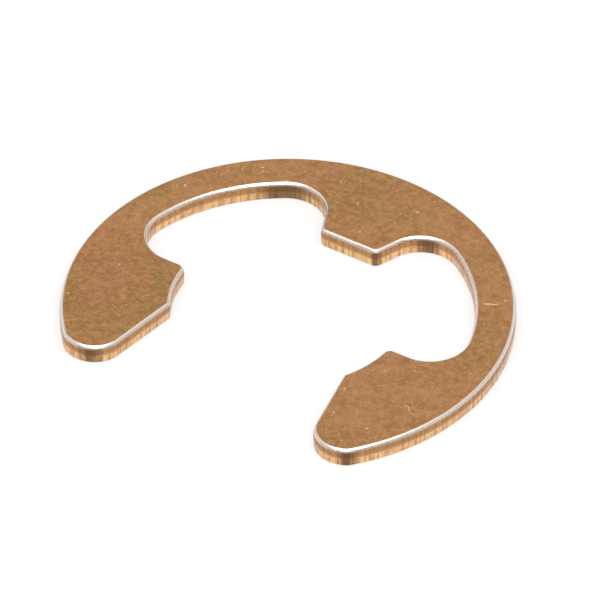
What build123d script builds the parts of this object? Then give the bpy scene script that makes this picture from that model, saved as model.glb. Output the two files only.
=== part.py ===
"""E clip (E-type retaining ring), blanked in one piece from flat spring-steel strip.

It is pushed on sideways over a grooved shaft. One tooth and two prongs bear on the floor of
the groove, and the thin bow that joins them springs open as the mouth passes over the shaft.

Frame, in millimetres: the origin is the centre of the shaft, on the underside of the clip.
+Z is the axis of the shaft and points to the side where the punch rolled the edges over.
The tooth is at +Y, and the mouth opens towards -Y.
"""

from build123d import *

import os
from math import cos, radians, sin, sqrt, tan

os.makedirs("parts", exist_ok=True)

# Strip
thickness = 1.07

# Bow: its outer rim, and the window inside it, whose centre lies a little nearer to the mouth
outer_diameter = 23.9
window_diameter = 19.66
window_shift = 0.1

# Circle that the prongs bear on, and the gap between them that the shaft passes through
seat_diameter = 12.3
mouth_width = 10.6

# Tooth opposite the mouth: its flat face, and flanks that spread towards the bow
tooth_reach = 6.0
tooth_width = 3.46
tooth_flank_angle = 22.5

# Prongs: shoulders just below the centre of the shaft, and a lead-in that flares from the mouth
shoulder_drop = 0.08
lead_in_angle = 10.4

# Lobe at the free end of each prong: its end edge runs from the lead-in up to the rim
lobe_end_width = 2.37
lobe_end_slope = 15.4

# Corners of the outline
window_corner_radius = 2.06
tooth_corner_radius = 0.45
shoulder_corner_radius = 0.48
mouth_corner_radius = 0.28
lobe_inner_radius = 1.72
lobe_outer_radius = 1.0

# Edges of the strip: rolled over on the punch side, a small break on the other
rolled_edge_radius = 0.19
lower_edge_break = 0.06

outer_radius = outer_diameter / 2
window_radius = window_diameter / 2
seat_radius = seat_diameter / 2

tooth_corner = Vector(tooth_width / 2, tooth_reach)
flank_direction = Vector(sin(radians(tooth_flank_angle)), cos(radians(tooth_flank_angle)))

shoulder = Vector(sqrt(seat_radius**2 - shoulder_drop**2), -shoulder_drop)
mouth_corner = Vector(mouth_width / 2, -sqrt(seat_radius**2 - (mouth_width / 2) ** 2))

lead_in_direction = Vector(sin(radians(lead_in_angle)), -cos(radians(lead_in_angle)))
lobe_end = lobe_end_width * Vector(cos(radians(lobe_end_slope)), sin(radians(lobe_end_slope)))

# A round can't outgrow the edge that it ends on
lobe_end_share = 0.85
lobe_end_turn = 90 + lobe_end_slope - lead_in_angle
lobe_end_limit = lobe_end_share * lobe_end_width / tan(radians(lobe_end_turn / 2))
lobe_inner_round = min(lobe_inner_radius, lobe_end_limit)

recess_share = 0.65
recess_depth = window_radius - seat_radius
window_corner_round = min(window_corner_radius, recess_share * recess_depth)


with BuildPart() as e_clip:
    with BuildSketch() as outline:
        # The right half, from the middle of the tooth round to the top of the bow
        with BuildLine():
            window = CenterArc((0, -window_shift), window_radius, -90, 180, mode=Mode.PRIVATE)
            rim = CenterArc((0, 0), outer_radius, -90, 180, mode=Mode.PRIVATE)
            lobe_reach = IntersectingLine(
                mouth_corner + lobe_end, lead_in_direction, rim, mode=Mode.PRIVATE
            )
            lobe_outer = lobe_reach @ 1
            lobe_inner = lobe_outer - lobe_end

            Line((0, tooth_reach), tooth_corner)
            tooth_flank = IntersectingLine(tooth_corner, flank_direction, window)
            shoulder_edge = IntersectingLine(shoulder, (1, 0), window)
            RadiusArc(tooth_flank @ 1, shoulder_edge @ 1, window_radius)
            RadiusArc(shoulder, mouth_corner, seat_radius)
            Line(mouth_corner, lobe_inner)
            Line(lobe_inner, lobe_outer)
            ThreePointArc(lobe_outer, (outer_radius, 0), (0, outer_radius))
            mirror(about=Plane.YZ)
        make_face()

        corner_radii = [
            (tooth_corner, tooth_corner_radius),
            (tooth_flank @ 1, window_corner_round),
            (shoulder_edge @ 1, window_corner_round),
            (shoulder, shoulder_corner_radius),
            (mouth_corner, mouth_corner_radius),
            (lobe_inner, lobe_inner_round),
            (lobe_outer, lobe_outer_radius),
        ]
        for corner, radius in corner_radii:
            for side in (1, -1):
                place = Vector(side * corner.X, corner.Y)
                fillet(outline.vertices().sort_by_distance(place)[0], radius=radius)
    extrude(amount=thickness)
    fillet(e_clip.edges().group_by(Axis.Z)[-1], radius=rolled_edge_radius)
    chamfer(e_clip.edges().group_by(Axis.Z)[0], length=lower_edge_break)

e_clip.part.label = "e_clip"
export_step(e_clip.part, "parts/e_clip.step")
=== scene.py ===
"""Looks for the e clip: bronze-coloured plating over blanked spring steel, on a white table.

The clip is made again as one finer piece. Its outline is a Bezier curve with a rounded corner
wherever two of its edges meet, and a Geometry Nodes tree sweeps the section of a blanked edge
round it. Metres throughout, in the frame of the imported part.
"""

import math

import bpy
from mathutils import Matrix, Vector


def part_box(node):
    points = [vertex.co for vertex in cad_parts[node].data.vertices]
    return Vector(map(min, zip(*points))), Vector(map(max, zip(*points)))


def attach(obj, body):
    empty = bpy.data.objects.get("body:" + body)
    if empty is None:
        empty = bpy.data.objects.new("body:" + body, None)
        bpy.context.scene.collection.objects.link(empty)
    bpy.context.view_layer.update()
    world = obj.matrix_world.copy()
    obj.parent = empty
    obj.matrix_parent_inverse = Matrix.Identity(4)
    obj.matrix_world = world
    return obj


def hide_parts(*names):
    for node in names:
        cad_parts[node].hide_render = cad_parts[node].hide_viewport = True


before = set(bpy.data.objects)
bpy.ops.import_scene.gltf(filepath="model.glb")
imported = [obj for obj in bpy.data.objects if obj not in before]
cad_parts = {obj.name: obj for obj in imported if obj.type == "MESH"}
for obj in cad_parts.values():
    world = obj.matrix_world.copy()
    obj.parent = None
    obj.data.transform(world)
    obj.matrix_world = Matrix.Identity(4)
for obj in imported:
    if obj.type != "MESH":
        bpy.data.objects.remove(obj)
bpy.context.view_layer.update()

MM = 0.001
MICRON = 0.000001
DEGREE = math.radians(1)

# ---------------------------------------------------------------- sizes of the clip
clip_low, clip_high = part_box("e_clip")
strip = clip_high.z - clip_low.z
rim_radius = clip_high.y

window_radius = 9.83 * MM
window_shift = 0.1 * MM
seat_radius = 6.15 * MM
mouth_half_width = 5.3 * MM
tooth_reach = 6.0 * MM
tooth_half_width = 1.73 * MM
tooth_flank_angle = 22.5 * DEGREE
shoulder_drop = 0.08 * MM
lead_in_angle = 10.4 * DEGREE
lobe_end_width = 2.37 * MM
lobe_end_slope = 15.4 * DEGREE

window_corner_radius = 2.06 * MM
tooth_corner_radius = 0.45 * MM
shoulder_corner_radius = 0.48 * MM
mouth_corner_radius = 0.28 * MM
lobe_inner_radius = 1.72 * MM
lobe_outer_radius = 1.0 * MM


# ---------------------------------------------------------------- outline
# Points in a plane are complex numbers. Every edge is travelled with the metal on its left.
settling_steps = 30


def unit(step):
    return step / abs(step)


def cross(first, second):
    return (first.conjugate() * second).imag


class Straight:
    """An edge that runs straight."""

    def __init__(self, start, end):
        self.start, self.end = start, end

    def heading(self, place):
        return unit(self.end - self.start)

    def depth(self, place):
        """How far a place lies to the left of the edge."""
        return cross(self.heading(place), place - self.start)

    def spans(self):
        third = (self.end - self.start) / 3
        return [(self.start, self.start + third, self.end - third, self.end)]


class Arc:
    """An edge that follows a circle: turn is 1 anticlockwise and -1 clockwise."""

    widest_span = 30 * DEGREE

    def __init__(self, centre, radius, turn, start, end):
        self.centre, self.radius, self.turn = centre, radius, turn
        self.start, self.end = start, end

    def heading(self, place):
        return self.turn * 1j * unit(place - self.centre)

    def depth(self, place):
        return self.turn * (self.radius - abs(place - self.centre))

    def spans(self):
        first = math.atan2((self.start - self.centre).imag, (self.start - self.centre).real)
        last = math.atan2((self.end - self.centre).imag, (self.end - self.centre).real)
        sweep = (self.turn * (last - first)) % math.tau
        count = math.ceil(sweep / self.widest_span)
        step = self.turn * sweep / count
        handle = 4 / 3 * math.tan(step / 4) * 1j
        corners = [
            self.radius * complex(math.cos(first + k * step), math.sin(first + k * step))
            for k in range(count + 1)
        ]
        return [
            (
                self.centre + here,
                self.centre + here + handle * here,
                self.centre + there - handle * there,
                self.centre + there,
            )
            for here, there in zip(corners, corners[1:])
        ]


def round_corner(before, after, radius):
    """Returns the arc that rounds the corner between two edges, and shortens both to it.

    Its centre settles where it lies one radius from both edges.
    """
    corner = before.end
    turn = 1 if cross(before.heading(corner), after.heading(corner)) > 0 else -1
    centre = corner
    for _ in range(settling_steps):
        left_before = 1j * before.heading(centre)
        left_after = 1j * after.heading(centre)
        miss_before = turn * radius - before.depth(centre)
        miss_after = turn * radius - after.depth(centre)
        step = miss_before * left_after - miss_after * left_before
        centre += -1j * step / cross(left_before, left_after)
    before.end = centre - turn * radius * 1j * before.heading(centre)
    after.start = centre - turn * radius * 1j * after.heading(centre)
    return Arc(centre, radius, turn, before.end, after.start)


def meets_circle(start, heading, centre, radius):
    """Where a straight line from inside a circle reaches it."""
    away = start - centre
    along = (away.conjugate() * heading).real
    return start + heading * (math.sqrt(along**2 + radius**2 - abs(away) ** 2) - along)


def on_circle(radius, x):
    """The lower point of a circle round the origin at this x."""
    return complex(x, -math.sqrt(radius**2 - x**2))


def right_half():
    """Edges of the right half, from the middle of the tooth round to the top of the bow."""
    window_centre = complex(0, -window_shift)
    tooth_corner = complex(tooth_half_width, tooth_reach)
    up_the_flank = complex(math.sin(tooth_flank_angle), math.cos(tooth_flank_angle))
    tooth_root = meets_circle(tooth_corner, up_the_flank, window_centre, window_radius)

    shoulder = complex(math.sqrt(seat_radius**2 - shoulder_drop**2), -shoulder_drop)
    shoulder_root = meets_circle(shoulder, 1, window_centre, window_radius)
    mouth_corner = on_circle(seat_radius, mouth_half_width)

    down_the_lead_in = complex(math.sin(lead_in_angle), -math.cos(lead_in_angle))
    lobe_end = lobe_end_width * complex(math.cos(lobe_end_slope), math.sin(lobe_end_slope))
    lobe_outer = meets_circle(mouth_corner + lobe_end, down_the_lead_in, 0, rim_radius)
    lobe_inner = lobe_outer - lobe_end

    edges = [
        Straight(complex(0, tooth_reach), tooth_corner),
        Straight(tooth_corner, tooth_root),
        Arc(window_centre, window_radius, -1, tooth_root, shoulder_root),
        Straight(shoulder_root, shoulder),
        Arc(0, seat_radius, -1, shoulder, mouth_corner),
        Straight(mouth_corner, lobe_inner),
        Straight(lobe_inner, lobe_outer),
        Arc(0, rim_radius, 1, lobe_outer, complex(0, rim_radius)),
    ]
    corner_radii = [
        tooth_corner_radius,
        window_corner_radius,
        window_corner_radius,
        shoulder_corner_radius,
        mouth_corner_radius,
        lobe_inner_radius,
        lobe_outer_radius,
    ]
    rounded = [edges[0]]
    for before, after, radius in zip(edges, edges[1:], corner_radii):
        rounded += [round_corner(before, after, radius), after]
    return rounded


def mirrored(spans):
    """The same spans on the other side of the Y axis, travelled onwards."""
    return [tuple(-point.conjugate() for point in reversed(span)) for span in reversed(spans)]


# ---------------------------------------------------------------- curve objects
segments_per_span = 24


def placed(name, data):
    """An object that holds the data, linked to the scene."""
    made = bpy.data.objects.new(name, data)
    bpy.context.scene.collection.objects.link(made)
    return made


def bezier_curve(name, spans, closed):
    """A curve object through the spans, with their own handles."""
    curve = bpy.data.curves.new(name, "CURVE")
    curve.dimensions = "3D"
    curve.resolution_u = segments_per_span
    spline = curve.splines.new("BEZIER")
    spline.use_cyclic_u = closed
    spline.bezier_points.add(len(spans) - (1 if closed else 0))
    for knot in spline.bezier_points:
        knot.handle_left_type = knot.handle_right_type = "FREE"
    count = len(spline.bezier_points)
    for k, (start, leave, arrive, end) in enumerate(spans):
        here, there = spline.bezier_points[k], spline.bezier_points[(k + 1) % count]
        here.co = (start.real, start.imag, 0)
        here.handle_right = (leave.real, leave.imag, 0)
        there.handle_left = (arrive.real, arrive.imag, 0)
        there.co = (end.real, end.imag, 0)
    return placed(name, curve)


def open_line(name, points):
    """A curve object straight from point to point."""
    curve = bpy.data.curves.new(name, "CURVE")
    curve.dimensions = "3D"
    spline = curve.splines.new("POLY")
    spline.points.add(len(points) - 1)
    for knot, (x, y) in zip(spline.points, points):
        knot.co = (x, y, 0, 1)
    return placed(name, curve)


# ---------------------------------------------------------------- section of a blanked edge
# From the upper face down: the roll, the burnished band, the torn band and the lower break.
roll_inset = 0.22 * MM
roll_depth = 0.40 * MM
burnish_foot = 0.52 * MM
tear_taper = 0.02 * MM
lower_edge_break = 0.06 * MM

roll_steps = 12
row_height = 0.05 * MM


def edge_section():
    """Points of the section: x is out of the metal and y is down, from the upper face."""
    points = []
    for k in range(roll_steps + 1):
        angle = 90 * DEGREE * k / roll_steps
        out = roll_inset * (math.sin(angle) - 1)
        points.append((out, roll_depth * (1 - math.cos(angle)) - strip))
    below = [
        (0, -burnish_foot),
        (-tear_taper, -lower_edge_break),
        (-tear_taper - lower_edge_break, 0),
    ]
    for out, down in below:
        last_out, last_down = points[-1]
        count = math.ceil((down - last_down) / row_height)
        for k in range(1, count + 1):
            share = k / count
            points.append(
                (last_out + share * (out - last_out), last_down + share * (down - last_down))
            )
    return points


# ---------------------------------------------------------------- node helpers
# A noise is given as its waves to a metre, its octaves of detail and their roughness.
# Nearly all of its values lie between these two.
noise_range = (0.3, 0.7)


class Tree:
    """Adds nodes to a tree, with the inputs of each by name."""

    def __init__(self, tree):
        self.tree = tree

    def add(self, kind, inputs=None, **settings):
        node = self.tree.nodes.new(kind)
        for name, value in settings.items():
            setattr(node, name, value)
        for name, value in (inputs or {}).items():
            self.feed(node.inputs[name], value)
        return node

    def first(self, kind, inputs=None, **settings):
        """Adds a node and gives its first output."""
        return self.add(kind, inputs, **settings).outputs[0]

    def feed(self, socket, value):
        if isinstance(value, bpy.types.NodeSocket):
            self.tree.links.new(value, socket)
        else:
            socket.default_value = value

    def math(self, operation, *values):
        node = self.add("ShaderNodeMath", operation=operation)
        for socket, value in zip(node.inputs, values):
            self.feed(socket, value)
        return node.outputs[0]

    def times(self, product, *factors):
        for factor in factors:
            product = self.math("MULTIPLY", product, factor)
        return product

    def rest_of(self, share):
        return self.math("SUBTRACT", 1.0, share)

    def waver(self, value, noise, spread):
        """Shifts a value up and down by a noise, over a spread."""
        return self.math("ADD", value, self.times(self.math("SUBTRACT", noise, 0.5), spread))

    def vector(self, operation, *values):
        node = self.add("ShaderNodeVectorMath", operation=operation)
        for socket, value in zip(node.inputs, values):
            self.feed(socket, value)
        return node.outputs["Value"] if operation in ("LENGTH", "DOT_PRODUCT") else node.outputs[0]

    def split(self, vector):
        """The outputs X, Y and Z of a vector."""
        return self.add("ShaderNodeSeparateXYZ", {"Vector": vector}).outputs

    def level(self, vector):
        """The vector with no height."""
        parts = self.split(vector)
        return self.first("ShaderNodeCombineXYZ", {"X": parts["X"], "Y": parts["Y"]})

    def upward(self, height):
        """A vector straight up."""
        return self.first("ShaderNodeCombineXYZ", {"Z": height})

    def ramp(self, value, start, end, low=0.0, high=1.0):
        """Goes smoothly from low to high while the value goes from start to end."""
        return self.first(
            "ShaderNodeMapRange",
            {"Value": value, "From Min": start, "From Max": end, "To Min": low, "To Max": high},
            interpolation_type="SMOOTHSTEP",
        )

    def noise(self, place, scale, detail, roughness):
        return self.first(
            "ShaderNodeTexNoise",
            {"Vector": place, "Scale": scale, "Detail": detail, "Roughness": roughness},
        )

    def mix(self, share, first, second):
        """Goes from the first colour to the second as the share grows."""
        node = self.add("ShaderNodeMix", data_type="RGBA")
        factor, colour_a, colour_b = node.inputs[0], node.inputs[6], node.inputs[7]
        for socket, value in ((factor, share), (colour_a, first), (colour_b, second)):
            self.feed(socket, value)
        return node.outputs[2]


def cleared_tree(owner):
    """The tree of a material or a world, emptied."""
    owner.use_nodes = True
    owner.node_tree.nodes.clear()
    return Tree(owner.node_tree)


# ---------------------------------------------------------------- the swept clip
row_spacing = 0.055 * MM
tear_relief = 22 * MICRON
tear_grain = 0.16 * MM
tear_detail = (3.0, 0.6)
tear_fade_above = 0.08 * MM
tear_fade_below = 0.06 * MM
score_relief = 6 * MICRON
score_pitch = 0.12 * MM
score_detail = (2.0, 0.5)
score_fade = 0.2 * MM
foot_fade = 0.05 * MM
wear_seed = 0.137
weld_distance = 2 * MICRON

strip_inputs = {
    "Outline": "NodeSocketGeometry",
    "Section": "NodeSocketObject",
    "Strip": "NodeSocketFloat",
    "Spacing": "NodeSocketFloat",
    "Tear top": "NodeSocketFloat",
    "Tear relief": "NodeSocketFloat",
    "Tear grain": "NodeSocketFloat",
    "Score relief": "NodeSocketFloat",
    "Score pitch": "NodeSocketFloat",
    "Seed": "NodeSocketFloat",
    "Finish": "NodeSocketMaterial",
}


def worn_wall(t, given, wall, height):
    """Moves the wall inwards: fine upright scores all the way down, and a rough torn band."""
    place = t.first("GeometryNodeInputPosition")
    per_grain = t.math("DIVIDE", 1.0, given["Tear grain"])
    per_pitch = t.math("DIVIDE", 1.0, given["Score pitch"])
    seeded = t.vector("ADD", place, t.upward(given["Seed"]))
    tear = t.ramp(t.noise(seeded, per_grain, *tear_detail), *noise_range)
    score = t.ramp(t.noise(t.level(place), per_pitch, *score_detail), *noise_range)

    torn = t.ramp(
        height,
        t.math("ADD", given["Tear top"], tear_fade_above),
        t.math("SUBTRACT", given["Tear top"], tear_fade_below),
    )
    below_face = t.ramp(height, given["Strip"], t.math("SUBTRACT", given["Strip"], score_fade))
    above_foot = t.ramp(height, 0.0, foot_fade)
    tear_cut = t.times(tear, given["Tear relief"], torn)
    score_cut = t.times(score, given["Score relief"], below_face)
    cut = t.times(t.math("ADD", tear_cut, score_cut), above_foot)

    outward = t.level(t.first("GeometryNodeInputNormal"))
    inward = t.first(
        "ShaderNodeVectorMath", {"Vector": outward, "Scale": t.times(cut, -1.0)}, operation="SCALE"
    )
    worn = t.first("GeometryNodeSetPosition", {"Geometry": wall, "Offset": inward})
    return t.first("GeometryNodeSetShadeSmooth", {"Geometry": worn, "Shade Smooth": True})


def face_plates(t, given, wall, height):
    """The two flat faces, each filled inside one open edge of the wall."""
    at_rim = t.add("FunctionNodeCompare", data_type="INT", operation="EQUAL")
    whole_a, whole_b = at_rim.inputs[2], at_rim.inputs[3]
    t.feed(whole_a, t.first("GeometryNodeInputMeshEdgeNeighbors"))
    t.feed(whole_b, 1)
    middle = t.times(given["Strip"], 0.5)
    plates = []
    for upper in (True, False):
        side = t.math("GREATER_THAN" if upper else "LESS_THAN", height, middle)
        chosen = t.times(side, at_rim.outputs[0])
        loop = t.first("GeometryNodeMeshToCurve", {"Mesh": wall, "Selection": chosen})
        flat = t.first("GeometryNodeFillCurve", {"Curve": loop}, mode="TRIANGLES")
        if not upper:
            flat = t.first("GeometryNodeFlipFaces", {"Mesh": flat})
        lift = t.upward(given["Strip"] if upper else 0.0)
        flat = t.first("GeometryNodeSetPosition", {"Geometry": flat, "Offset": lift})
        plates.append(
            t.first("GeometryNodeSetShadeSmooth", {"Geometry": flat, "Shade Smooth": False})
        )
    return plates


def blanked_strip_tree():
    """Sweeps a section round a closed outline and closes the two faces of the strip."""
    group = bpy.data.node_groups.new("blanked_strip", "GeometryNodeTree")
    group.is_modifier = True
    for name, kind in strip_inputs.items():
        group.interface.new_socket(name, in_out="INPUT", socket_type=kind)
    group.interface.new_socket("Clip", in_out="OUTPUT", socket_type="NodeSocketGeometry")

    t = Tree(group)
    given = t.add("NodeGroupInput").outputs
    path = t.first(
        "GeometryNodeResampleCurve",
        {"Curve": given["Outline"], "Length": given["Spacing"]},
        mode="LENGTH",
    )
    shape = t.add("GeometryNodeObjectInfo", {"Object": given["Section"]}).outputs["Geometry"]
    wall = t.first("GeometryNodeCurveToMesh", {"Curve": path, "Profile Curve": shape})

    height = t.split(t.first("GeometryNodeInputPosition"))["Z"]
    wall = worn_wall(t, given, wall, height)
    joined = t.add("GeometryNodeJoinGeometry")
    for piece in (wall, *face_plates(t, given, wall, height)):
        t.tree.links.new(piece, joined.inputs[0])
    welded = t.first(
        "GeometryNodeMergeByDistance", {"Geometry": joined.outputs[0], "Distance": weld_distance}
    )
    real = t.first("GeometryNodeRealizeInstances", {"Geometry": welded})
    dressed = t.first("GeometryNodeSetMaterial", {"Geometry": real, "Material": given["Finish"]})
    t.add("NodeGroupOutput", {"Clip": dressed})
    return group


# ---------------------------------------------------------------- finish
swell_noise = (110.0, 1.0, 0.5)
broad_noise = (230.0, 2.0, 0.55)
cloud_noise = (1100.0, 3.0, 0.6)
pebble_noise = (2600.0, 2.0, 0.6)
speck_noise = (3300.0, 2.0, 0.5)
blotch_noise = (4200.0, 2.0, 0.6)
streak_noise = (5200.0, 3.0, 0.6)
grain_noise = (6500.0, 4.0, 0.7)
fine_noise = (26000.0, 2.0, 0.5)

olive_bronze = (0.355, 0.203, 0.058, 1)
red_bronze = (0.462, 0.182, 0.088, 1)
deep_bronze = (0.371, 0.170, 0.059, 1)
light_bronze = (0.583, 0.297, 0.125, 1)
pebble_bronze = (0.643, 0.339, 0.137, 1)
grain_shadow = (0.214, 0.095, 0.038, 1)
grain_glint = (0.797, 0.482, 0.244, 1)
speck_glint = (0.952, 0.785, 0.571, 1)
scratch_glint = (0.833, 0.595, 0.381, 1)
nick_glint = (0.970, 0.833, 0.619, 1)
# Painted dark band: the burnished band under the roll, darker than the torn band.
dark_band_deep = (0.36, 0.170, 0.066, 1)
dark_band_soft = (0.52, 0.265, 0.108, 1)
torn_dark = (0.49, 0.250, 0.102, 1)
torn_light = (0.93, 0.590, 0.285, 1)
torn_bright = (0.95, 0.67, 0.36, 1)
# Painted dark reflection on the wall.
dark_reflection_brown = (0.115, 0.055, 0.025, 1)
# Painted highlight: the near-white colour of the roll's upper part.
roll_highlight_pale = (0.96, 0.92, 0.87, 1)

# Fine scratches in three ways: degrees round from the X axis, and a shift that sets them apart.
scratch_ways = ((20, 0.0), (-38, 0.013), (75, 0.031))
scratch_stretch = (500.0, 14000.0, 0.0)
scratch_strength = 0.35

# One longer nick, across the right arm.
nick_place = (8.97 * MM, 5.62 * MM, strip)
nick_lean = 26.6 * DEGREE
nick_half_length = 0.50 * MM
nick_half_width = 0.06 * MM
nick_strength = 0.8

# Painted dark reflection: the wall is painted darker near these places: x and y, and how far from
# there, in millimetres.
dark_reflection_places = (
    (8.62, -8.22, 0.62),
    (-7.00, -8.35, 0.75),
    (3.40, 8.45, 0.75),
    (-5.30, 8.15, 1.80),
    (1.62, 6.05, 0.35),
)
dark_reflection_waver = 0.6 * MM
dark_reflection_strength = 0.8

# The torn band starts raggedly at the burnish's foot, and the upper part of the roll is painted
# pale: a painted highlight.
tear_line_waver = 0.35 * MM
tear_colour_above = 0.10 * MM
tear_colour_below = 0.12 * MM
face_edge_start = 0.001 * MM
face_edge_end = 0.02 * MM
underside_fade = 0.03 * MM
highlight_foot = 0.24 * MM
highlight_top = 0.10 * MM
highlight_strength = 0.84

relief_strength = 0.3
relief_height = 20 * MICRON
grain_share = 0.7
edge_tint = (0.95, 0.92, 0.97, 1)
coat_weight = 0.08
coat_roughness = 0.15


def mottled_face(t, place, cloud, grain):
    """Bronze that wanders between olive and red, clouded, pebbled, grained and specked."""
    broad = t.noise(place, *broad_noise)
    colour = t.mix(t.ramp(broad, 0.36, 0.64), olive_bronze, red_bronze)
    # Each layer: what it follows, where it starts, where it is full, its share there, its colour.
    layers = (
        (t.noise(place, *swell_noise), 0.40, 0.62, 0.50, light_bronze),
        (cloud, 0.30, 0.70, 0.80, deep_bronze),
        (t.noise(place, *pebble_noise), 0.36, 0.66, 0.45, pebble_bronze),
        (grain, 0.46, 0.22, 0.50, grain_shadow),
        (grain, 0.50, 0.76, 0.60, grain_glint),
        (t.noise(place, *speck_noise), 0.70, 0.76, 0.70, speck_glint),
    )
    for follows, start, full, share, tint in layers:
        colour = t.mix(t.ramp(follows, start, full, high=share), colour, tint)
    return colour


def scratched(t, place, colour):
    """The colour with thin bright scratches, where a drawn-out noise peaks."""
    for degrees, shift in scratch_ways:
        turned = t.first("ShaderNodeVectorRotate", {"Vector": place, "Angle": degrees * DEGREE})
        drawn = t.vector("MULTIPLY", t.vector("ADD", turned, (shift, shift, 0)), scratch_stretch)
        line = t.ramp(t.noise(drawn, 1.0, 1.0, 0.5), 0.70, 0.78)
        colour = t.mix(t.times(line, scratch_strength), colour, scratch_glint)
    return colour


def nicked(t, place, colour):
    """The colour with one bright nick, softer towards its ends and sides."""
    way = t.split(t.vector("SUBTRACT", place, nick_place))
    cosine, sine = math.cos(nick_lean), math.sin(nick_lean)
    along = t.math("ADD", t.times(way["X"], cosine), t.times(way["Y"], sine))
    across = t.math("SUBTRACT", t.times(way["Y"], cosine), t.times(way["X"], sine))
    nick = t.times(
        t.ramp(t.math("ABSOLUTE", along), nick_half_length, nick_half_length / 2),
        t.ramp(t.math("ABSOLUTE", across), nick_half_width, nick_half_width / 3),
    )
    return t.mix(t.times(nick, nick_strength), colour, nick_glint)


def torn_gold(t, place, streak):
    """Brighter gold of the torn band, in upright streaks and blotches."""
    blotch = t.noise(place, *blotch_noise)
    colour = t.mix(t.ramp(streak, 0.33, 0.67), torn_dark, torn_light)
    return t.mix(t.ramp(blotch, 0.5, 0.7, high=0.6), colour, torn_bright)


def dark_reflection_share(t, upright, streak):
    """How much painted dark reflection the wall takes: full at each listed place and fading out
    round it.
    """
    dark_reflection = 0.0
    for x, y, reach in dark_reflection_places:
        away = t.vector("LENGTH", t.vector("SUBTRACT", upright, (x * MM, y * MM, 0)))
        away = t.waver(away, streak, dark_reflection_waver)
        dark_reflection = t.math("MAXIMUM", dark_reflection, t.ramp(away, 1.1 * reach * MM, 0.2 * reach * MM))
    return dark_reflection


def bronze_plate():
    """Bronze-coloured chromate over zinc: satin, finely grained, a little mottled."""
    material = bpy.data.materials.new("bronze_plate")
    t = cleared_tree(material)
    place = t.add("ShaderNodeTexCoord").outputs["Object"]
    height = t.split(place)["Z"]
    upright = t.level(place)
    cloud = t.noise(place, *cloud_noise)
    grain = t.noise(place, *grain_noise)
    fine = t.noise(place, *fine_noise)
    streak = t.noise(upright, *streak_noise)

    underside = t.ramp(height, underside_fade, 0.0)
    off_face = t.ramp(height, strip - face_edge_start, strip - face_edge_end)
    tear_line = t.waver(height, streak, tear_line_waver)
    torn = t.ramp(tear_line, burnish_foot + tear_colour_above, burnish_foot - tear_colour_below)
    torn = t.times(torn, t.rest_of(underside))
    # Painted dark reflection: the wall is darkened near the listed places.
    dark_reflection = t.times(dark_reflection_share(t, upright, streak), off_face, t.rest_of(underside))
    # Painted highlight: the upper part of the roll turns near white.
    painted_highlight = t.times(off_face, t.ramp(height, strip - highlight_foot, strip - highlight_top))

    face = nicked(t, place, scratched(t, place, mottled_face(t, place, cloud, grain)))
    # Painted dark band: the burnished band under the roll is painted darker than the torn band
    # below it.
    dark_band = t.mix(t.ramp(streak, *noise_range), dark_band_deep, dark_band_soft)
    colour = t.mix(off_face, face, dark_band)
    colour = t.mix(underside, colour, face)
    colour = t.mix(torn, colour, torn_gold(t, place, streak))
    colour = t.mix(t.times(dark_reflection, dark_reflection_strength), colour, dark_reflection_brown)
    colour = t.mix(t.times(painted_highlight, highlight_strength), colour, roll_highlight_pale)

    cloudy = t.ramp(cloud, *noise_range, low=0.24, high=0.32)
    grainy = t.ramp(grain, 0.3, 0.8, low=-0.04, high=0.08)
    relief = t.math("ADD", t.times(grain, grain_share), t.times(fine, 1 - grain_share))
    bump = t.first(
        "ShaderNodeBump",
        {"Height": relief, "Strength": relief_strength, "Distance": relief_height},
    )
    shader = t.add(
        "ShaderNodeBsdfPrincipled",
        {
            "Base Color": colour,
            "Metallic": 1.0,
            "Roughness": t.math("ADD", cloudy, grainy),
            "Normal": bump,
            "Specular Tint": edge_tint,
            "Coat Weight": coat_weight,
            "Coat Roughness": coat_roughness,
        },
    )
    t.add("ShaderNodeOutputMaterial", {"Surface": shader.outputs[0]})
    return material


def make_clip():
    """The whole clip as one mesh, swept once and kept without its curves."""
    right = [span for edge in right_half() for span in edge.spans()]
    outline = bezier_curve("clip_outline", right + mirrored(right), closed=True)
    section = open_line("edge_section", edge_section())
    tree = blanked_strip_tree()
    sweep = outline.modifiers.new("blanked_strip", "NODES")
    sweep.node_group = tree
    socket_ids = {
        item.name: item.identifier for item in tree.interface.items_tree if item.in_out == "INPUT"
    }
    settings = {
        "Section": section,
        "Strip": strip,
        "Spacing": row_spacing,
        "Tear top": burnish_foot,
        "Tear relief": tear_relief,
        "Tear grain": tear_grain,
        "Score relief": score_relief,
        "Score pitch": score_pitch,
        "Seed": wear_seed,
        "Finish": bronze_plate(),
    }
    for name, value in settings.items():
        sweep[socket_ids[name]] = value
    graph = bpy.context.evaluated_depsgraph_get()
    mesh = bpy.data.meshes.new_from_object(outline.evaluated_get(graph), depsgraph=graph)
    for helper in (outline, section):
        bpy.data.curves.remove(helper.data)
    return placed("plated_clip", mesh)


clip = make_clip()
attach(clip, "root")
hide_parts("e_clip")


# ---------------------------------------------------------------- table
table_radius = 3.0
table_sides = 96
card_colour = (0.73, 0.73, 0.73, 1)
white = (1, 1, 1, 1)
white_share = 0.65


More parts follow.
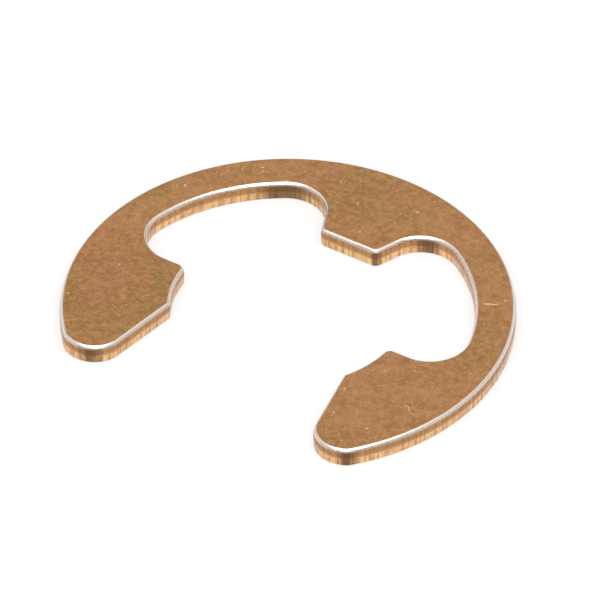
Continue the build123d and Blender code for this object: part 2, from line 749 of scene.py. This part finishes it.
def white_table():
    """A round white table that keeps a faint shadow."""
    mesh = bpy.data.meshes.new("table")
    turns = [math.tau * k / table_sides for k in range(table_sides)]
    corners = [(table_radius * math.cos(turn), table_radius * math.sin(turn), 0) for turn in turns]
    mesh.from_pydata(corners, [], [tuple(range(table_sides))])

    material = bpy.data.materials.new("white_table")
    t = cleared_tree(material)
    card = t.first("ShaderNodeBsdfDiffuse", {"Color": card_colour})
    glow = t.first("ShaderNodeEmission", {"Color": white, "Strength": 1.0})
    ray = t.add("ShaderNodeLightPath").outputs
    seen = t.math("MAXIMUM", ray["Is Camera Ray"], ray["Is Glossy Ray"])
    seen = t.math("MAXIMUM", seen, ray["Is Transmission Ray"])
    both = t.first("ShaderNodeMixShader", {0: t.times(seen, white_share), 1: card, 2: glow})
    t.add("ShaderNodeOutputMaterial", {"Surface": both})
    mesh.materials.append(material)
    placed("table", mesh)


# ---------------------------------------------------------------- light
camera_azimuth = 31.7 * DEGREE
camera_elevation = 41 * DEGREE

sky_level = 0.85
horizon_dim = 0.35
horizon_dim_ahead = 0.70

softbox_elevation = 60 * DEGREE
softbox_distance = 0.8
softbox_width = 0.85
softbox_depth = 1.2
softbox_radiance = 2.5


def towards(azimuth, elevation):
    """The direction from the clip to a place seen at that azimuth and elevation."""
    level = math.cos(elevation)
    return Vector(
        (math.sin(azimuth) * level, -math.cos(azimuth) * level, math.sin(elevation))
    )


def aim(thing, direction):
    """Turns the back of a lamp or camera towards the direction."""
    thing.rotation_euler = direction.to_track_quat("Z", "Y").to_euler()


def overhead_softbox():
    """A wide soft lamp above the camera, turned to the clip."""
    light = bpy.data.lights.new("overhead_softbox", "AREA")
    light.shape = "RECTANGLE"
    light.size = softbox_width
    light.size_y = softbox_depth
    light.energy = softbox_radiance * math.pi * softbox_width * softbox_depth
    lamp = placed("overhead_softbox", light)
    lamp.location = softbox_distance * towards(camera_azimuth, softbox_elevation)
    aim(lamp, lamp.location)


def studio_world():
    """Even grey light, darker low down and darkest low down on the camera's side."""
    world = bpy.data.worlds.new("studio")
    t = cleared_tree(world)
    way = t.add("ShaderNodeTexCoord").outputs["Generated"]
    lift = t.split(way)["Z"]
    ahead = t.vector("DOT_PRODUCT", way, tuple(towards(camera_azimuth, 0)))
    low_down = t.ramp(lift, 0.45, 0.15)
    dim = t.times(low_down, t.ramp(ahead, 0.3, 0.8, low=horizon_dim, high=horizon_dim_ahead))
    level = t.math("SUBTRACT", sky_level, dim)
    glow = t.first("ShaderNodeBackground", {"Color": white, "Strength": level})
    t.add("ShaderNodeOutputWorld", {"Surface": glow})
    bpy.context.scene.world = world


white_table()
studio_world()
overhead_softbox()


# ---------------------------------------------------------------- camera
camera_distance = 0.96
sensor_width = 36
focal_length = 1100
aim_point = Vector((0, 1.2 * MM, strip / 2))

scene = bpy.context.scene
scene.view_settings.view_transform = "Standard"
lens = bpy.data.cameras.new("camera")
lens.sensor_width = sensor_width
lens.lens = focal_length
lens.clip_start = 0.05
lens.clip_end = 10
camera = placed("camera", lens)
camera.location = aim_point + camera_distance * towards(camera_azimuth, camera_elevation)
aim(camera, camera.location - aim_point)
scene.camera = camera
